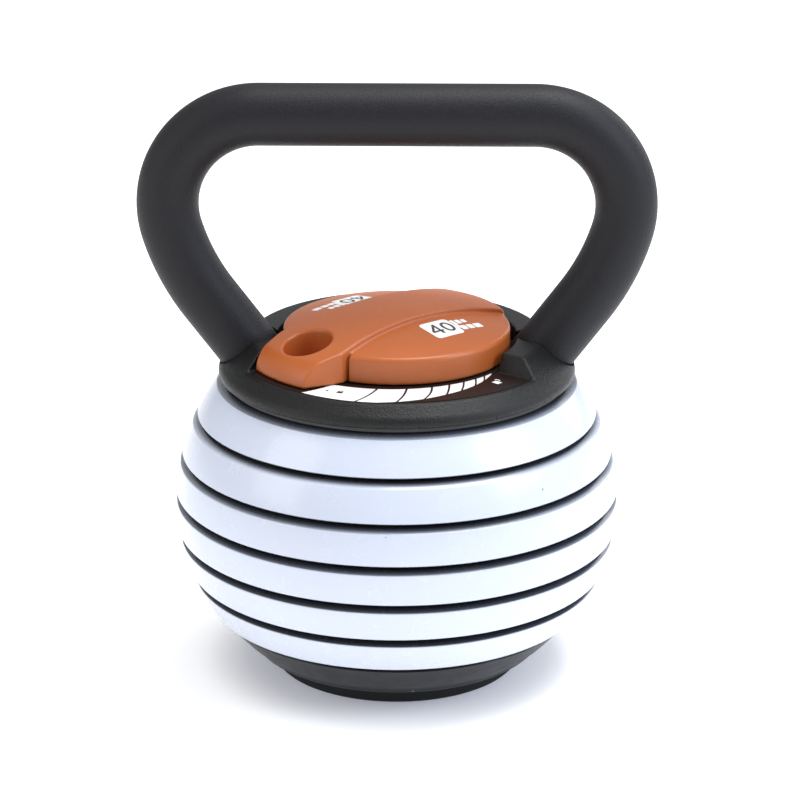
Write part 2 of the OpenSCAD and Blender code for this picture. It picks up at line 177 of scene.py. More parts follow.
# powder coat of the tube, with a fine grain
coat = Mat("powder_coat", (0.011, 0.011, 0.012), 0.50, spec=0.26)
grain = coat.noise(900.0, 3.0, 0.7)
coat.set("Base Color", coat.mix(grain, (0.0055, 0.0053, 0.0062), (0.0180, 0.0174, 0.0208)))
coat.set("Roughness", coat.ramp(grain, [(0.3, 0.44), (0.7, 0.60)]))
coat.bump(grain, 0.30, 0.7)

# spark-textured collar moulding
moulding = Mat("collar_moulding", (0.009, 0.0085, 0.008), 0.40, spec=0.30)
spark = moulding.noise(800.0, 3.0, 0.75)
moulding.set("Base Color", moulding.mix(spark, (0.004, 0.0038, 0.0036), (0.014, 0.0135, 0.013)))
moulding.set("Roughness", moulding.ramp(spark, [(0.3, 0.34), (0.7, 0.48)]))
moulding.bump(spark, 0.45, 0.8)

# terracotta moulding of the knob
ORANGE = (0.44, 0.106, 0.021)
knob_mat = Mat("terracotta", ORANGE, 0.38, spec=0.5)
soft = knob_mat.noise(45.0, 4.0, 0.6)
fine = knob_mat.noise(1500.0, 2.0, 0.6)
knob_mat.set("Base Color", knob_mat.mix(soft, tone(ORANGE, 0.93), tone(ORANGE, 1.06)))
knob_mat.set("Roughness", knob_mat.ramp(fine, [(0.3, 0.33), (0.7, 0.43)]))
knob_mat.bump(fine, 0.04, 0.5).bump(soft, 0.25, 0.25)

# gloss white paint of the plates over a cast surface, with a few chips. Painted shade: its colour
# darkens to a blue-grey where the next plate is near, whichever way it is seen from.
WHITE = (0.60, 0.64, 0.745)
paint = Mat("gloss_white_paint", WHITE, 0.25, spec=0.5, coat=0.35, coat_rough=0.12)
cast = paint.noise(70.0, 4.0, 0.55)
orange_peel = paint.noise(420.0, 2.0, 0.5)
base_white = paint.mix(cast, tone(WHITE, 0.975), tone(WHITE, 1.02))
base_white = specks(paint, base_white, (0.10, 0.10, 0.11), 95.0, 0.035)
# painted shade: ambient occlusion darkens the paint's colour in and beside the gaps between
# plates
occlusion_shade = paint.node("ShaderNodeAmbientOcclusion", samples=16, in_Distance=16 * MM)
painted_shade_mix = paint.ramp(occlusion_shade.outputs["AO"],
                 [(0.36, 0.0), (0.62, 0.10), (0.80, 0.42), (0.92, 1.0)])
paint.set("Base Color", paint.mix(painted_shade_mix, (0.024, 0.027, 0.036), base_white))
paint.set("Roughness", paint.ramp(cast, [(0.3, 0.24), (0.7, 0.29)]))
paint.bump(orange_peel, 0.05, 0.4).bump(cast, 0.15, 0.2)

# dark casting where the paint stops: webs, hollows and hubs. Partly the casting's own colour,
# partly painted shade that makes the gaps between the plates dark.
iron = Mat("dark_casting_and_gap_shade", (0.030, 0.031, 0.034), 0.62, spec=0.35)
sand = iron.noise(260.0, 5.0, 0.65)
iron.set("Base Color", iron.mix(sand, (0.018, 0.0185, 0.021), (0.050, 0.051, 0.056)))
iron.bump(sand, 0.35, 0.6)

# satin black base with small light specks
base_mat = Mat("satin_black", (0.012, 0.012, 0.0125), 0.40, spec=0.25)
cloud = base_mat.noise(90.0, 4.0, 0.6)
dark = base_mat.mix(cloud, (0.008, 0.008, 0.0085), (0.016, 0.016, 0.017))
base_mat.set("Base Color", specks(base_mat, dark, (0.35, 0.35, 0.34), 120.0, 0.045))
base_mat.set("Roughness", base_mat.ramp(cloud, [(0.3, 0.32), (0.7, 0.46)]))
base_mat.bump(cloud, 0.12, 0.35)

rubber = mottled("foot_rubber", (0.009, 0.009, 0.010), 0.66, 0.3, 120.0, spec=0.3)
rubber.bump(rubber.noise(600.0, 3.0), 0.1, 0.4)
print_dark = mottled("scale_print", (0.012, 0.0055, 0.004), 0.42, 0.2, 90.0, spec=0.2)
print_white = mottled("scale_white", (0.88, 0.88, 0.87), 0.34, 0.03, 60.0, spec=0.45)
label_white = mottled("label_white", (0.86, 0.86, 0.84), 0.34, 0.03, 80.0, spec=0.4)
figure_dark = mottled("label_figures", (0.055, 0.035, 0.028), 0.4, 0.15, 200.0)
black_steel = mottled("black_steel", (0.014, 0.014, 0.015), 0.34, 0.25, 80.0, spec=0.5)
black_steel.bump(black_steel.noise(500.0, 3.0), 0.05, 0.4)
weld = mottled("painted_weld", (0.022, 0.022, 0.024), 0.5, 0.3, 150.0)
weld.bump(weld.noise(320.0, 3.0), 0.5, 0.7)
zinc = mottled("zinc", (0.55, 0.56, 0.58), 0.32, 0.12, 250.0, metal=1.0)
alloy = mottled("die_cast", (0.60, 0.61, 0.63), 0.42, 0.08, 140.0, metal=0.9)
alloy.bump(alloy.noise(380.0, 3.0), 0.08, 0.5)
nylon = mottled("nylon", (0.74, 0.72, 0.63), 0.42, 0.05, 100.0)
steel = mottled("ground_steel", (0.58, 0.58, 0.60), 0.28, 0.08, 200.0, metal=1.0)
jaw_steel = mottled("jaw_steel", (0.22, 0.22, 0.24), 0.36, 0.15, 160.0, metal=1.0)
jaw_steel.bump(jaw_steel.noise(700.0, 2.0), 0.04, 0.4)

# ---------------------------------------------------------------- mesh helpers


def piece(name, verts, faces, mats, body, nodes=(), smooth=True, which=None):
    """A mesh piece from millimetre points, riding on a CAD body."""
    mesh = bpy.data.meshes.new(name)
    mesh.from_pydata((np.asarray(verts, float) * MM).tolist(), [], faces)
    mesh.update()
    ob = bpy.data.objects.new(name, mesh)
    scene.collection.objects.link(ob)
    for mat in mats if isinstance(mats, list) else [mats]:
        mesh.materials.append(mat.material)
    mesh.polygons.foreach_set("use_smooth", [smooth] * len(mesh.polygons))
    if which is not None:
        mesh.polygons.foreach_set("material_index", which)
    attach(ob, body)
    if nodes:
        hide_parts(*nodes)
    return ob


def sharpen(ob, angle):
    """Edges over the angle stay crisp in an otherwise smooth piece."""
    mesh = ob.data
    flatness = np.full(len(mesh.edges), 1.0)
    first = {}
    normals = np.array([face.normal for face in mesh.polygons])
    for face in mesh.polygons:
        for corner in face.loop_indices:
            edge = mesh.loops[corner].edge_index
            if edge in first:
                flatness[edge] = float(normals[first[edge]] @ normals[face.index])
            else:
                first[edge] = face.index
    mesh.attributes.new("sharp_edge", "BOOLEAN", "EDGE")
    mesh.attributes["sharp_edge"].data.foreach_set(
        "value", (flatness < math.cos(math.radians(angle))).tolist())


def lathe(name, loop, mats, body, nodes, segs, painted=None):
    """A closed loop of (radius, height) points turned about Z. Where painted is given,
    faces up to that point have the first material and the others the second."""
    n = len(loop)
    turns = np.linspace(0, 2 * math.pi, segs, endpoint=False)
    verts = [(r * math.cos(t), r * math.sin(t), z) for r, z in loop for t in turns]
    faces, which = [], []
    for i in range(n):
        j = (i + 1) % n
        for k in range(segs):
            m = (k + 1) % segs
            faces.append((i * segs + k, j * segs + k, j * segs + m, i * segs + m))
            which.append(0 if painted is None or i < painted else 1)
    ob = piece(name, verts, faces, mats, body, nodes, True, which)
    sharpen(ob, 35)


def arc(cx, cz, r, a0, a1, n):
    steps = [turned(r, a0 + (a1 - a0) * i / n) for i in range(n + 1)]
    return [(cx + dx, cz + dz) for dx, dz in steps]


def rint(a, b, r):
    """Intersection of two distance fields with a rounding of radius r."""
    outside = np.hypot(np.maximum(r + a, 0), np.maximum(r + b, 0))
    return np.minimum(-r, np.maximum(a, b)) + outside


def runion(a, b, r):
    """Union of two distance fields with a fillet of radius r."""
    inside = np.hypot(np.maximum(r - a, 0), np.maximum(r - b, 0))
    return np.maximum(r, np.minimum(a, b)) - inside


def rcut(a, b, r):
    """Distance field a less b, with a rounding of radius r."""
    return rint(a, -b, r)


def shell(name, field, lo, hi, pitch, mat, body, nodes):
    """The zero surface of a distance field as a quad mesh, by surface nets."""
    axes = [np.arange(lo[k], hi[k] + pitch, pitch) for k in range(3)]
    inside = field(*np.meshgrid(*axes, indexing="ij")) < 0
    full = sum(inside[i:inside.shape[0] - 1 + i, j:inside.shape[1] - 1 + j,
                      k:inside.shape[2] - 1 + k].astype(np.int8)
               for i in (0, 1) for j in (0, 1) for k in (0, 1))
    cells = np.argwhere((full > 0) & (full < 8))
    index = np.full(full.shape, -1)
    index[tuple(cells.T)] = np.arange(len(cells))
    points = np.array([axes[k][cells[:, k]] + pitch / 2 for k in range(3)])
    step = 0.02
    for _ in range(6):
        value = field(*points)
        slope = np.array([field(*(points + d)) - field(*(points - d))
                          for d in np.eye(3)[:, :, None] * step]) / (2 * step)
        move = np.clip(value / np.maximum((slope * slope).sum(0), 0.2), -pitch, pitch)
        points = points - move * slope
    faces = []
    for axis in range(3):
        b, c = (axis + 1) % 3, (axis + 2) % 3
        along_axis = np.moveaxis(inside, axis, 0)
        crossed = np.moveaxis(along_axis[1:] != along_axis[:-1], 0, axis)
        at = np.argwhere(crossed)
        at = at[(at[:, b] > 0) & (at[:, c] > 0)
                & (at[:, b] < inside.shape[b] - 1) & (at[:, c] < inside.shape[c] - 1)]
        corners = []
        for back_b, back_c in ((0, 0), (1, 0), (1, 1), (0, 1)):
            cell = at.copy()
            cell[:, b] -= back_b
            cell[:, c] -= back_c
            corners.append(index[tuple(cell.T)])
        quads = np.array(corners).T
        leaves = inside[tuple(at.T)]
        quads[~leaves] = quads[~leaves][:, ::-1]
        faces.append(quads)
    piece(name, points.T, np.vstack(faces).tolist(), mat, body, nodes)


def flat(name, outlines, z0, z1, mat, body, nodes):
    """Thin flat plates with the given outlines, from z0 up to z1."""
    verts, faces = [], []
    for points in outlines:
        n, o = len(points), len(verts)
        verts += [(x, y, z0) for x, y in points] + [(x, y, z1) for x, y in points]
        faces += [tuple(range(o + n - 1, o - 1, -1)), tuple(range(o + n, o + 2 * n))]
        faces += [(o + i, o + (i + 1) % n, o + n + (i + 1) % n, o + n + i) for i in range(n)]
    piece(name, verts, faces, mat, body, nodes, False)


# ---------------------------------------------------------------- plates

# The outer faces lie on one ellipse, BODY_R by BODY_HALF about the height BODY_MID. It and
# the base's flank below are fitted to the body's outline in the photo.
BODY_R, BODY_HALF, BODY_MID = 116.4, 109.0, 91.0
PITCH, GAP, WALL = 21.1, 2.5, 7.0
LEDGE_H, LEDGE_RUN, EDGE_ROUND = 2.2, 4.0, 0.8
HUB_R, SOCKET_R, SOCKET_D, BORE_R, PROUD = 38.0, 30.0, 12.5, 20.0, 0.5
SPIGOT_R, SPIGOT_IN, SPIGOT_L = 29.6, 24.0, 12.0
WEB_DROP, BEVEL, FILLET = 1.0, 0.6, 1.5
PLATE_KG, IRON = 2.27, 7.2e-6
PLATES = 6
STACK_Z = top_of("plate_6") - (PITCH - GAP) - PROUD


def face_r(z):
    return BODY_R * math.sqrt(1 - ((z - BODY_MID) / BODY_HALF) ** 2)


def face_angle(z):
    """Direction of the ellipse's outward normal, up from level."""
    return math.degrees(math.atan2((z - BODY_MID) * BODY_R ** 2, BODY_HALF ** 2 * face_r(z)))


def outline_volume(z0, z1):
    """Volume inside the ellipse between two heights."""
    lost = ((z1 - BODY_MID) ** 3 - (z0 - BODY_MID) ** 3) / (3 * BODY_HALF ** 2)
    return math.pi * BODY_R ** 2 * (z1 - z0 - lost)


def hollow_depth(z0, z1, inner, web):
    """Depth of the hollow under a web that leaves PLATE_KG of iron."""
    solid = outline_volume(z0, z1) + math.pi * (
        (HUB_R ** 2 - web ** 2) * WEB_DROP - face_r(z1) * LEDGE_RUN * LEDGE_H + HUB_R ** 2 * GAP
        - SOCKET_R ** 2 * SOCKET_D - BORE_R ** 2 * (PITCH - SOCKET_D)
        + (SPIGOT_R ** 2 - SPIGOT_IN ** 2) * SPIGOT_L)
    return (solid - PLATE_KG / IRON) / (math.pi * (inner ** 2 - HUB_R ** 2))


def painted_face(z0, z1):
    """Outer face, small round and the start of the ledge, upwards."""
    lip = z1 - LEDGE_H
    start, end = face_angle(lip), math.degrees(math.atan2(LEDGE_RUN, LEDGE_H))
    reach = EDGE_ROUND * math.tan(math.radians(end - start) / 2)
    ca, sa = turned(1, start)
    cx = face_r(lip) + reach * sa - EDGE_ROUND * ca
    cz = lip - reach * ca - EDGE_ROUND * sa
    low = z0 + 0.45
    high = lip - reach
    steps = 14
    heights = [low + (high - low) * k / steps for k in range(steps + 1)]
    return ([(face_r(z0) - 0.5, z0)] + [(face_r(z), z) for z in heights]
            + arc(cx, cz, EDGE_ROUND, start, end, 5)[1:])


def plate(i):
    z0 = STACK_Z + (PLATES - i) * PITCH
    z1 = z0 + PITCH - GAP
    top, bottom = z1 + PROUD, z0 - (GAP - PROUD)
    inner = min(face_r(z0), face_r(z1)) - WALL
    web = face_r(z1) - WALL - LEDGE_RUN
    roof = z0 + hollow_depth(z0, z1, inner, web)
    ledge_end = face_r(z1 - LEDGE_H) - LEDGE_RUN
    outer = painted_face(z0, z1)
    ledge_and_web = [(ledge_end + 0.5, z1 - 0.28), (ledge_end - 0.3, z1), (web + 0.8, z1),
                     (web, z1 - BEVEL), (web - 0.3, z1 - WEB_DROP),
                     (HUB_R + 1.5, z1 - WEB_DROP), (HUB_R, z1), (HUB_R - 0.5, top)]
    socket = [(SOCKET_R + BEVEL, top), (SOCKET_R, top - BEVEL), (SOCKET_R, top - SOCKET_D),
              (BORE_R, top - SOCKET_D), (BORE_R, bottom)]
    spigot_z = bottom - SPIGOT_L
    spigot = [(SPIGOT_IN, bottom), (SPIGOT_IN, spigot_z), (SPIGOT_R - BEVEL, spigot_z),
              (SPIGOT_R, spigot_z + BEVEL), (SPIGOT_R, bottom), (HUB_R, bottom)]
    hollow = [(HUB_R, roof), (inner - FILLET, roof), (inner, roof - FILLET), (inner, z0)]
    lathe(f"plate_{i}_casting", outer + ledge_and_web + socket + spigot + hollow, [paint, iron],
          f"weight_{i}", [f"plate_{i}"], 256, len(outer) + 1)


for number in range(1, PLATES + 1):
    plate(number)

# ---------------------------------------------------------------- base and foot

BASE_TOP = STACK_Z - GAP
BASE_R, BASE_FOOT_R, BASE_FOOT_Z = 94.3, 76.9, 11.3
FOOT_R, FOOT_H, FOOT_SINK = 66.1, 8.0, 2.0
DISH_H, BASE_SOCKET_D, BASE_CORE_R = 9.3, 12.0, 0.5
CAVITY_R, CAVITY_IN, CAVITY_H = 52.0, 24.0, 5.0

foot_z = FOOT_H - FOOT_SINK
seat = [(FOOT_R, FOOT_H), (FOOT_R, foot_z + 0.3), (FOOT_R + 0.3, foot_z), (FOOT_R + 0.9, foot_z),
        (FOOT_R + 1.9, foot_z + 1)]
flank = [(BASE_FOOT_R + out, BASE_FOOT_Z + up)
         for out, up in ((-1.2, -0.9), (0, 0), (0.4, 0.8), (3.7, 3.9), (7.1, 7.0), (12.4, 12.7))]
lip = [(BASE_R - 0.7, BASE_TOP - 1.6), (BASE_R, BASE_TOP - 0.8), (BASE_R - 0.3, BASE_TOP - 0.2),
       (BASE_R - 0.9, BASE_TOP)]
dish = [(BASE_R - 12, BASE_TOP), (BASE_R - 12, BASE_TOP - DISH_H), (HUB_R, BASE_TOP - DISH_H),
        (HUB_R, BASE_TOP), (HUB_R - 0.5, BASE_TOP + PROUD)]
socket = [(SOCKET_R + BEVEL, BASE_TOP + PROUD), (SOCKET_R, BASE_TOP),
          (SOCKET_R, BASE_TOP - BASE_SOCKET_D), (BASE_CORE_R, BASE_TOP - BASE_SOCKET_D)]
cavity = [(BASE_CORE_R, foot_z), (CAVITY_IN, foot_z), (CAVITY_IN, FOOT_H + CAVITY_H),
          (CAVITY_R, FOOT_H + CAVITY_H), (CAVITY_R, FOOT_H)]
lathe("base_casting", seat + flank + lip + dish + socket + cavity, base_mat, "base",
      ["base_weight"], 224)

# ---------------------------------------------------------------- handle

# Centre line of the tube in the XZ plane: straight bar, tight bend, wide sweep, leaning leg.
BAR_Z, BAR_HALF, BEND_R, SWEEP_R = 297.0, 70.3, 47.4, 117.5
SWEEP_A, LEAN_A, TUBE_R = 16.2602, 36.8699, 16.0
SIDES = 72
CHASSIS_TOP = top_of("chassis_plate")
LEAN = (-math.sin(math.radians(LEAN_A)), -math.cos(math.radians(LEAN_A)))


def on(centre, radius, degrees):
    dx, dz = turned(radius, degrees)
    return (centre[0] + dx, centre[1] + dz)


def half_path():
    """The centre line from the bar's middle to the top of the right leg."""
    bend_c = (BAR_HALF, BAR_Z - BEND_R)
    sweep_c = on(on(bend_c, BEND_R, -SWEEP_A), SWEEP_R, 180 - SWEEP_A)
    bar = [(BAR_HALF * k / 14, BAR_Z) for k in range(14)]
    bend = [on(bend_c, BEND_R, 90 - (90 + SWEEP_A) * k / 40) for k in range(40)]
    sweep = [on(sweep_c, SWEEP_R, -SWEEP_A - (LEAN_A - SWEEP_A) * k / 14) for k in range(15)]
    return bar + bend + sweep


def tube_ring(path, k):
    """Points round the tube at one point of its path, square to it."""
    x, z = path[k]
    if k == 0:
        dx, dz = LEAN[0], -LEAN[1]
    elif k == len(path) - 1:
        dx, dz = LEAN
    else:
        dx, dz = path[k + 1][0] - path[k - 1][0], path[k + 1][1] - path[k - 1][1]
    length = math.hypot(dx, dz)
    nx, nz = -dz / length, dx / length
    ring = []
    for s in range(SIDES):
        c, v = math.cos(2 * math.pi * s / SIDES), math.sin(2 * math.pi * s / SIDES)
        ring.append((x + nx * TUBE_R * c, TUBE_R * v, z + nz * TUBE_R * c))
    return ring


def run_down(ring, side):
    """The ring's points carried along the leg to the chassis plate."""
    return [(x + side * LEAN[0] * (z - CHASSIS_TOP) / -LEAN[1], y, CHASSIS_TOP)
            for x, y, z in ring]


half = half_path()
leg_from = half[-1]
path = [(-x, z) for x, z in half[:0:-1]] + half
rings = [tube_ring(path, k) for k in range(len(path))]
rings = [run_down(rings[0], -1)] + rings + [run_down(rings[-1], 1)]
verts = [point for ring in rings for point in ring]
faces = []
for k in range(len(rings) - 1):
    for s in range(SIDES):
        m = (s + 1) % SIDES
        faces.append((k * SIDES + s, k * SIDES + m, (k + 1) * SIDES + m, (k + 1) * SIDES + s))
faces += [tuple(range(SIDES - 1, -1, -1)), tuple(range(len(verts) - SIDES, len(verts)))]
tube = piece("handle_grip_tube", verts, faces, coat, "handle", ["handle_tube"])
sharpen(tube, 40)

# ---------------------------------------------------------------- collar

SHELF_Z, WELL_R, SHELF_END, LEVER_A = 171.4, 62.6, -34.0, -139.0
COLLAR_R, COLLAR_Z, COLLAR_TOP = 93.0, 160.3, 180.2
# a point of the sloping flank and its normal, each as (radius, height)
FLANK_AT, FLANK_NORMAL = (92.8, 165.0), (0.664, 0.7477)
SEAT_R, SEAT_TOP, SHAFT_HOLE_R = 90.2, 161.95, 16.0
# the sloping end leans 30 degrees from upright, starting END_FOOT over the shelf
END_FOOT, END_COS, END_SIN = 1.2, math.cos(math.radians(30)), 0.5
KNOB_Z = SHELF_Z + 0.7
KNOB_R, RIM_Z, DOME_R = 59.0, KNOB_Z + 13.4, 216.0
BAND_H, BAND_HALF, LEVER_R = 2.8, 21.0, 80.0
WIDEST_AT, WIDENING, TAPER, TAPER_RUN = 57, 4.3, 5.5, 21
LEVER_GAP, TUBE_GAP = 1.6, 0.7
DOME_C = RIM_Z - math.sqrt(DOME_R ** 2 - KNOB_R ** 2)
LEVER_COS, LEVER_SIN = math.cos(math.radians(LEVER_A)), math.sin(math.radians(LEVER_A))


def along_lever(x, y):
    """Distances along the lever's direction and across it."""
    return x * LEVER_COS + y * LEVER_SIN, -x * LEVER_SIN + y * LEVER_COS


def lever_half(s):
    """Half the band's width: it widens up to the lever's recess and tapers to the tip."""
    s = np.abs(s)
    widening = BAND_HALF + WIDENING * (s / WIDEST_AT) ** 2
    taper = BAND_HALF + WIDENING - TAPER * (s - WIDEST_AT) / TAPER_RUN
    return np.where(s <= WIDEST_AT, widening, taper)


def tube_field(x, y, z):
    """Distance from the straight leg of the nearer side."""
    dx, dz = np.abs(x) - leg_from[0], z - leg_from[1]
    return np.hypot(dx * LEAN[1] - dz * LEAN[0], y) - TUBE_R


def shelf_space(x, y, z):
    """The open space over the shelf, between the lever's wall and the sloping end."""
    s, o = along_lever(x, y)
    left_wall = -(o + lever_half(np.maximum(s, 0)) + LEVER_GAP)
    end = math.radians(SHELF_END)
    across = -x * math.sin(end) + y * math.cos(end)
    slope = across * END_COS - (z - SHELF_Z - END_FOOT) * END_SIN
    sector = rint(left_wall, np.minimum(across, slope), 0.5)
    space = rint(sector, SHELF_Z - z, 1.0)
    return rint(space, (WELL_R - 2) - np.hypot(x, y), 0.4)


def collar_field(x, y, z):
    r = np.hypot(x, y)
    flank = (r - FLANK_AT[0]) * FLANK_NORMAL[0] + (z - FLANK_AT[1]) * FLANK_NORMAL[1]
    skirt = rint(r - COLLAR_R, COLLAR_Z - z, 1.4)
    d = rint(rint(skirt, flank, 1.6), z - COLLAR_TOP, 1.3)
    d = rcut(d, np.maximum(r - WELL_R, SHELF_Z - z), 0.8)
    d = rcut(d, shelf_space(x, y, z), 0.9)
    d = rcut(d, tube_field(x, y, z) - TUBE_GAP, 0.7)
    d = np.maximum(d, -np.maximum(r - SEAT_R, z - SEAT_TOP))
    return np.maximum(d, SHAFT_HOLE_R - r)


shell("collar_moulding", collar_field, (-94.5, -94.5, 159), (94.5, 94.5, 181.6), 0.8,
      moulding, "handle", ["collar"])

# ---------------------------------------------------------------- scale


def ring_piece(r0, r1, a0, a1, n, centre=(0, 0)):
    """Outline of a piece of a flat ring between two radii and two angles."""
    outer = [on(centre, r1, a0 + (a1 - a0) * k / n) for k in range(n + 1)]
    inner = [on(centre, r0, a1 + (a0 - a1) * k / n) for k in range(n + 1)]
    return outer + inner


SCALE_Z, INK = SHELF_Z + 0.3, 0.04
flat("scale_ring_print", [ring_piece(60.5, 84.0, -152, SHELF_END - 1.5, 60)], SHELF_Z + 0.02,
     SCALE_Z, print_dark, "handle", ["scale_ring"])

# Outer edge of the white wedge, as angle and radius. This and DIVISIONS are a few points
# read off the photo and carried to the shelf's plane through the fitted camera.
EDGE = [(-124.5, 83.7), (-116, 84.3), (-107, 84.9), (-96, 84.7), (-88.8, 83.0), (-80, 80.2),
        (-70, 75.9), (-62.5, 73.2), (-55, 70.2), (-47.5, 66.8), (-38, 62.5)]
# both ends of the wedge and its slanted divisions, as angles at the inner and outer edge
WEDGE_START, WEDGE_END = (-119.0, -124.0), (-38.4, -38.0)
DIVISIONS = [(-97.9, -103.1), (-84.6, -89.0), (-72.9, -79.0), (-64.3, -69.7), (-56.5, -62.6),
             (-49.4, -54.5), (-43.6, -47.6)]
HALF_LINE = 0.6


def edge_r(a):
    return float(np.interp(a, [p[0] for p in EDGE], [p[1] for p in EDGE]))


def root_r(a):
    """Inner edge of the wedge, just outside the knob's well."""
    return 62.2 - (38 + a) * 0.04


def divider(inner_a, outer_a, gap):
    """Points as (radius, angle) from the knob outwards along a slanted division. Those at
    the wedge's wide end bend a little."""
    r0, r1 = root_r(inner_a), edge_r(outer_a)
    curve = 0.35 if inner_a < -70 else 0.0
    out = []
    for k in range(9):
        t = k / 8
        r = r0 + (r1 - r0) * t
        a = inner_a + (outer_a - inner_a) * ((1 - curve) * t + curve * t * t)
        out.append((r, a + math.degrees(gap / r)))
    return out


def wedge_cell(cut, next_cut):
    """One white cell of the wedge, between two divisions."""
    near, far = divider(*cut, HALF_LINE), divider(*next_cut, -HALF_LINE)
    a0, a1 = near[-1][1], far[-1][1]
    b0, b1 = far[0][1], near[0][1]
    steps = range(1, 14)
    rim = [(edge_r(a0 + (a1 - a0) * q / 14), a0 + (a1 - a0) * q / 14) for q in steps]
    root = [(root_r(b0 + (b1 - b0) * q / 14), b0 + (b1 - b0) * q / 14) for q in steps]
    return [turned(r, a) for r, a in near + rim + far[::-1] + root]


cuts = [WEDGE_START] + DIVISIONS + [WEDGE_END]
white = [wedge_cell(cut, next_cut) for cut, next_cut in zip(cuts, cuts[1:])]
flat("scale_wedge", white, SCALE_Z, SCALE_Z + INK, print_white, "handle", ())


def glyph(parts, r, a, size, turn=90):
    """Small outlines placed on the shelf, turned from the radius through them."""
    cx, cy = turned(r, a)
    c, s = turned(1, a + turn)
    return [[(cx + size * (x * c - y * s), cy + size * (x * s + y * c)) for x, y in part]
            for part in parts]


lock_body = [(-1.0, -0.9), (1.0, -0.9), (1.0, 0.7), (-1.0, 0.7)]
padlock = [lock_body, ring_piece(0.5, 0.85, 0, 180, 12, (0, 0.8))]
unlocked = [lock_body, ring_piece(0.5, 0.85, 30, 180, 12, (-1.0, 0.8))]
arrow = [[(-0.9, -0.5), (0.9, -0.5), (0, 0.9)]]
flat("scale_marks", glyph(arrow, 74.9, -116.8, 1.2) + glyph(padlock, 74.4, -111.5, 1.5),
     SCALE_Z + INK, SCALE_Z + 2 * INK, print_dark, "handle", ())
flat("scale_open_lock", glyph(unlocked, 73.5, -45.4, 2.1, 0), SCALE_Z, SCALE_Z + 0.05,
     print_white, "handle", ())

# ---------------------------------------------------------------- knob


# DRAFT is the slope of the band's side. EVEN brings its field back to nearly a distance.
DRAFT, EVEN = 0.045, 0.99
GROOVE_IN, GROOVE_OUT, GROOVE_HALF = 56.6, 60.5, 0.7
RECESS_R, RECESS_Z = 12.5, 174.6
# a distance that keeps the groove off the heel's half
NO_GROOVE = 9.0


def knob_field(x, y, z):
    """Domed disc, raised band that runs out into the lever, side groove, finger recess."""
    r = np.hypot(x, y)
    sphere = np.hypot(r, z - DOME_C)
    disc = rint(r - KNOB_R, sphere - DOME_R, 1.8)
    s, o = along_lever(x, y)
    tip = rint(sphere - DOME_R - BAND_H, r - LEVER_R, 8.5)
    heel = rint(sphere - DOME_R - BAND_H, r - KNOB_R + 0.3, 2.4)
    side = (np.abs(o) - lever_half(s) + (z - KNOB_Z) * DRAFT) * EVEN
    band = rint(side, np.where(s > 0, tip, heel), 1.0)
    d = runion(disc, band, 0.9)
    d = rint(d, KNOB_Z - z, 0.5)
    groove = np.maximum(np.abs(o - lever_half(s) - 0.1) - GROOVE_HALF, GROOVE_IN - r)
    groove = np.maximum(groove, np.where(s > 0, r - GROOVE_OUT, NO_GROOVE))
    d = rcut(d, np.maximum(groove, z - RIM_Z - 1.5), 0.3)
    recess = rint(np.hypot(s - KNOB_R, o) - RECESS_R, RECESS_Z - z, 1.6)
    return rcut(d, recess, 1.3)


shell("knob_moulding", knob_field, (-82, -82, 171.2), (61, 61, 198), 0.72, knob_mat,
      "lever_knob", ["knob"])


def on_dome(s, o, lift):
    """A point of the disc's dome, given in the labels' directions."""
    x, y = o * LEVER_SIN - s * LEVER_COS, -s * LEVER_SIN - o * LEVER_COS
    return (x, y, DOME_C + math.sqrt((DOME_R + lift) ** 2 - x * x - y * y))


def rounded(x0, y0, x1, y1, r):
    """Outline of a rectangle with round corners."""
    corners = ((x1 - r, y1 - r, 0), (x0 + r, y1 - r, 90), (x0 + r, y0 + r, 180),
               (x1 - r, y0 + r, 270))
    return [on((cx, cy), r, a + 15 * k) for cx, cy, a in corners for k in range(7)]


def on_knob(name, outlines, lift0, lift1, mat, sign, nodes=()):
    """Thin shapes that lie on the dome. Each outline is filled by shrinking copies of
    itself. A sign of -1 turns them half round the knob's axis."""
    verts, faces = [], []
    steps = 5
    for points in outlines:
        n, o = len(points), len(verts)
        cx, cy = sum(p[0] for p in points) / n, sum(p[1] for p in points) / n
        verts.append(on_dome(sign * cx, sign * cy, lift1))
        for k in range(1, steps + 1):
            verts += [on_dome(sign * (cx + (x - cx) * k / steps),
                              sign * (cy + (y - cy) * k / steps), lift1) for x, y in points]
        verts += [on_dome(sign * x, sign * y, lift0) for x, y in points]
        verts.append(on_dome(sign * cx, sign * cy, lift0))
        last = len(verts) - 1
        under = o + 1 + steps * n
        for i in range(n):
            j = (i + 1) % n
            faces.append((o, o + 1 + i, o + 1 + j))
            for k in range(steps):
                a, b = o + 1 + k * n, o + 1 + (k + 1) * n
                faces.append((a + i, b + i, b + j, a + j))
            faces.append((under + j, under + i, last))
    ob = piece(name, verts, faces, mat, "lever_knob", nodes)
    sharpen(ob, 40)


# figures as strokes: a 4 with an open stem and an oval 0
def stroke(p, q, w):
    length = math.hypot(q[0] - p[0], q[1] - p[1])
    nx, ny = -(q[1] - p[1]) / length * w / 2, (q[0] - p[0]) / length * w / 2
    return [(p[0] - nx, p[1] - ny), (q[0] - nx, q[1] - ny), (q[0] + nx, q[1] + ny),
            (p[0] + nx, p[1] + ny)]


def oval(cx, cy, rx, ry, w):
    """An oval line of width w, as short quads."""
    n = 28
    turns = [2 * math.pi * k / n for k in range(n + 1)]
    return [[(cx + (rx - w) * math.cos(a), cy + (ry - w) * math.sin(a)),
             (cx + rx * math.cos(a), cy + ry * math.sin(a)),
             (cx + rx * math.cos(b), cy + ry * math.sin(b)),
             (cx + (rx - w) * math.cos(b), cy + (ry - w) * math.sin(b))]
            for a, b in zip(turns, turns[1:])]


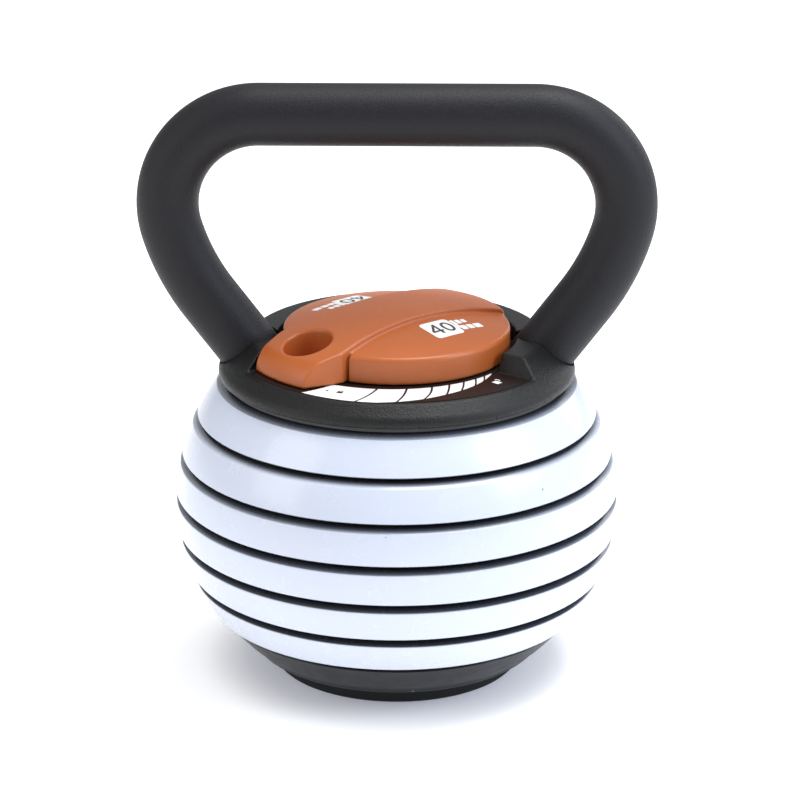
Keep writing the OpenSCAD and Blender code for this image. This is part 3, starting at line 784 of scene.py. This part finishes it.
figures = [stroke((-0.4, -38.6), (-0.4, -28.4), 1.5), stroke((-0.4, -28.9), (-4.9, -35.2), 1.4),
           stroke((-5.5, -35.6), (1.4, -35.6), 1.4)] + oval(5.9, -33.5, 3.3, 5.2, 1.5)
block = rounded(-7.2, -42.2, 10.8, -25.0, 2.4)
# plain bars in place of the small print
bars = [rounded(11.2, -33.4, 13.4, -27.8, 0.5), rounded(14.2, -32.6, 17.0, -28.2, 0.6),
        rounded(17.8, -32.2, 20.6, -28.6, 0.6), rounded(12.0, -39.4, 15.6, -35.0, 0.6),
        rounded(16.4, -39.4, 20.0, -35.0, 0.6), rounded(20.8, -39.4, 25.6, -35.0, 0.6),
        rounded(11.0, -37.0, 12.6, -33.0, 0.4)]
for place, sign in (("front", 1), ("rear", -1)):
    on_knob(f"label_{place}_block", [block], 0.0, 0.14, label_white, sign,
            [f"knob_label_{place}"])
    on_knob(f"label_{place}_bars", bars, 0.0, 0.13, label_white, sign)
    on_knob(f"label_{place}_figures", figures, 0.14, 0.2, figure_dark, sign)

# ---------------------------------------------------------------- CAD nodes that stay

KEEP = {"handle_welds": weld, "chassis_plate": black_steel, "collar_screws": zinc,
        "lock_housing": alloy, "housing_screws": zinc, "shaft_bush": nylon,
        "drive_shaft": steel, "shaft_screws": zinc, "cam_plate": steel, "cam_screw": zinc,
        "foot_ring": rubber, "foot_screws": zinc}
for number in (1, 2, 3):
    KEEP[f"lock_jaw_{number}"] = jaw_steel
    KEEP[f"jaw_pin_{number}"] = steel
for node, mat in KEEP.items():
    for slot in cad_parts[node].material_slots:
        slot.material = mat.material

# ---------------------------------------------------------------- floor and light

floor_mat = Mat("floor", (0.90, 0.895, 0.885), 0.75, spec=0.2)
cloud = floor_mat.noise(3.0, 2.0)
floor_mat.set("Base Color", floor_mat.mix(cloud, (0.895, 0.89, 0.88), (0.905, 0.90, 0.89)))
# painted shadow: the floor glows evenly, and ambient occlusion dims the glow near the body
occlusion_shade = floor_mat.node("ShaderNodeAmbientOcclusion", samples=8, in_Distance=35 * MM)
glow_and_painted_shadow = floor_mat.ramp(occlusion_shade.outputs["AO"], [(0.30, (0.36, 0.37, 0.45)), (0.80, (1, 1, 1))])
floor_mat.set("Emission Color", glow_and_painted_shadow)
floor_mat.shader.inputs["Emission Strength"].default_value = 0.50
FLOOR = 12
mesh = bpy.data.meshes.new("floor")
mesh.from_pydata([(-FLOOR, -FLOOR, 0), (FLOOR, -FLOOR, 0), (FLOOR, FLOOR, 0), (-FLOOR, FLOOR, 0)],
                 [], [(0, 1, 2, 3)])
mesh.materials.append(floor_mat.material)
floor = bpy.data.objects.new("floor", mesh)
scene.collection.objects.link(floor)

world = bpy.data.worlds.new("studio")
scene.world = world
world.use_nodes = True
background = world.node_tree.nodes["Background"]
background.inputs["Color"].default_value = (0.93, 0.96, 1.0, 1)
background.inputs["Strength"].default_value = 0.52


def softbox(name, at, aim, size, watts, color):
    lamp = bpy.data.lights.new(name, "AREA")
    lamp.shape, lamp.size, lamp.size_y = "RECTANGLE", *size
    lamp.energy, lamp.color = watts, color
    ob = bpy.data.objects.new(name, lamp)
    ob.location = at
    ob.rotation_mode = "QUATERNION"
    ob.rotation_quaternion = (Vector(aim) - Vector(at)).to_track_quat("-Z", "Y")
    scene.collection.objects.link(ob)


softbox("top", (0.35, 0.1, 1.5), (0, 0, 0.15), (0.9, 0.8), 20, (0.99, 0.99, 1.0))
softbox("left", (-1.5, -0.7, 0.9), (0, 0, 0.15), (0.9, 1.2), 7.5, (0.97, 0.98, 1.0))
softbox("right", (1.45, -0.55, 1.0), (0, 0, 0.12), (0.7, 0.9), 16, (0.74, 0.84, 1.0))
softbox("rim", (1.25, 1.3, 0.75), (0, 0, 0.2), (0.8, 0.8), 5, (0.96, 0.98, 1.0))
